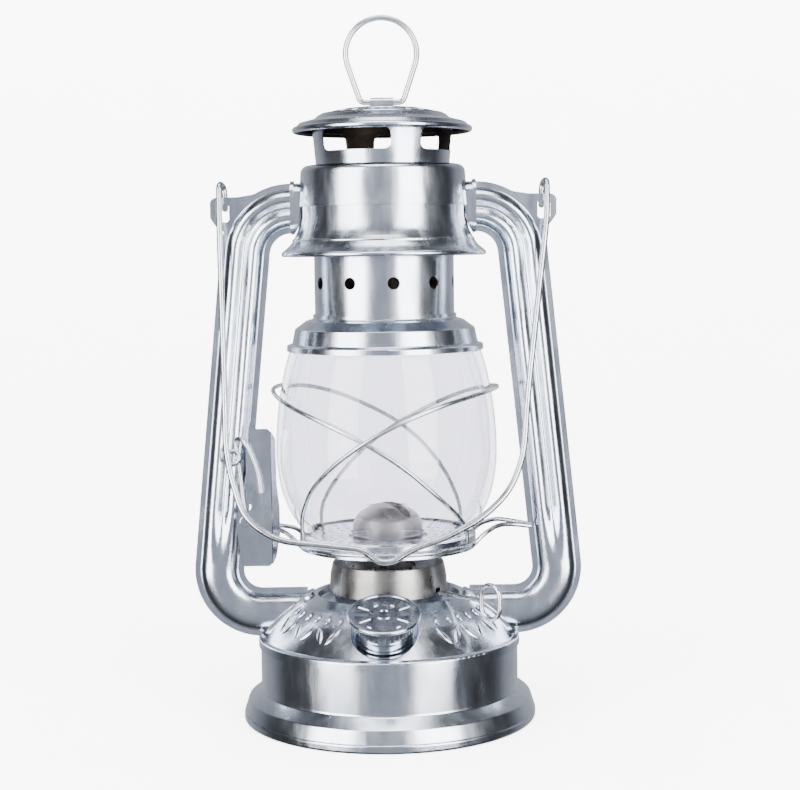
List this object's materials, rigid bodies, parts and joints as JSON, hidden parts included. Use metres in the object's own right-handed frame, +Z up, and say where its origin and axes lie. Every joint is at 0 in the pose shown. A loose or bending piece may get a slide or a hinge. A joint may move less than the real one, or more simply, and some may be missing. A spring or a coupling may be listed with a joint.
{
  "type": "tubular oil lantern",
  "caption": "Tubular hurricane oil lantern with a lifting glass globe in a wire cage, raised chimney cap, swinging bail, lift lever, wick spindle and screw filler cap.",
  "frame": {"origin": "centre of the foot, on the surface the lantern stands on", "axes": "+Z up, -Y is the front with the filler cap, +X to the viewer's right"},
  "size_m": [0.1548, 0.117, 0.2777],
  "materials": {
    "tin": "bright tin plate",
    "burner_metal": "dull tin plate",
    "wire": "tinned wire",
    "glass": "clear blown glass",
    "cotton": "woven cotton",
    "gasket": "matt"
  },
  "bodies": {
    "lantern": {"base_rim": "tin", "tank_side": "tin", "tank_bottom": "tin", "tank_dome": "tin", "filler_neck": "tin", "burner_collar": "tin", "drum_cover": "tin", "drum_skirt": "tin", "drum_floor": "tin", "left_collar": "tin", "right_collar": "tin", "left_tube_front": "tin", "left_tube_rear": "tin", "right_tube_front": "tin", "right_tube_rear": "tin", "left_foot": "tin", "right_foot": "tin", "lever_bracket": "tin", "bracket_clip": "tin", "burner_base": "burner_metal", "burner_body": "burner_metal", "burner_dome": "burner_metal", "wick_tube": "burner_metal", "air_screen": "burner_metal", "spindle_bracket": "burner_metal", "lever_pivot": "wire", "chimney_spring": "wire"},
    "globe_cage": {"globe_plate": "tin", "globe": "glass", "left_guard_wire": "wire", "right_guard_wire": "wire", "front_cross_wire": "wire", "rear_cross_wire": "wire"},
    "chimney": {"chimney_cap": "tin", "vent_band": "tin", "chimney_tube": "tin", "globe_hood": "tin", "spring_seat": "tin", "ring_bracket": "tin"},
    "lifting_ring": {"lifting_ring": "wire"},
    "bail": {"bail_handle": "wire"},
    "lift_lever": {"lift_lever": "wire"},
    "wick_spindle": {"wick_spindle": "wire", "star_wheels": "burner_metal"},
    "wick": {"wick": "cotton"},
    "filler_gasket": {"filler_gasket": "gasket"},
    "filler_cap": {"filler_cap": "tin"}
  },
  "joints": [
    {"name": "globe_lift", "type": "slide", "parent": "lantern", "child": "globe_cage", "axis": [0, 0, 1], "range_m": [0, 0.01]},
    {"name": "chimney_lift", "type": "slide", "parent": "globe_cage", "child": "chimney", "axis": [0, 0, 1], "range_m": [0, 0.01], "stiffness_N_per_m": 100, "springref_m": -0.01, "deforming": ["chimney_spring"]},
    {"name": "ring_fold", "type": "hinge", "parent": "chimney", "child": "lifting_ring", "pos_m": [0, 0, 0.2439], "axis": [1, 0, 0], "range_deg": [-85, 85]},
    {"name": "bail_swing", "type": "hinge", "parent": "lantern", "child": "bail", "pos_m": [0, 0, 0.2063], "axis": [-1, 0, 0], "range_deg": [0, 300]},
    {"name": "lever_turn", "type": "hinge", "parent": "lantern", "child": "lift_lever", "pos_m": [-0.056, -0.0084, 0.0803], "axis": [0, -1, 0], "range_deg": [0, 58.7]},
    {"name": "wick_lift", "type": "slide", "parent": "lantern", "child": "wick", "axis": [0, 0, 1], "range_m": [-0.008, 0.008]},
    {"name": "wick_turn", "type": "hinge", "parent": "lantern", "child": "wick_spindle", "pos_m": [0.00318, 0.00318, 0.0516], "axis": [-0.7071, 0.7071, 0], "range_deg": [-148, 148]},
    {"name": "filler_lift", "type": "slide", "parent": "lantern", "child": "filler_gasket", "axis": [0, -0.342, 0.9397], "range_m": [0, 0.005]},
    {"name": "cap_turn", "type": "hinge", "parent": "filler_gasket", "child": "filler_cap", "pos_m": [-0.0015, -0.042, 0.0499], "axis": [0, -0.342, 0.9397], "range_deg": [0, 720]}
  ],
  "couplings": [
    {"joint": "lever_turn", "follows": "globe_lift", "rad_per_m": 102.3},
    {"joint": "wick_turn", "follows": "wick_lift", "rad_per_m": 322.58},
    {"joint": "filler_lift", "follows": "cap_turn", "m_per_rad": 0.00039789}
  ]
}
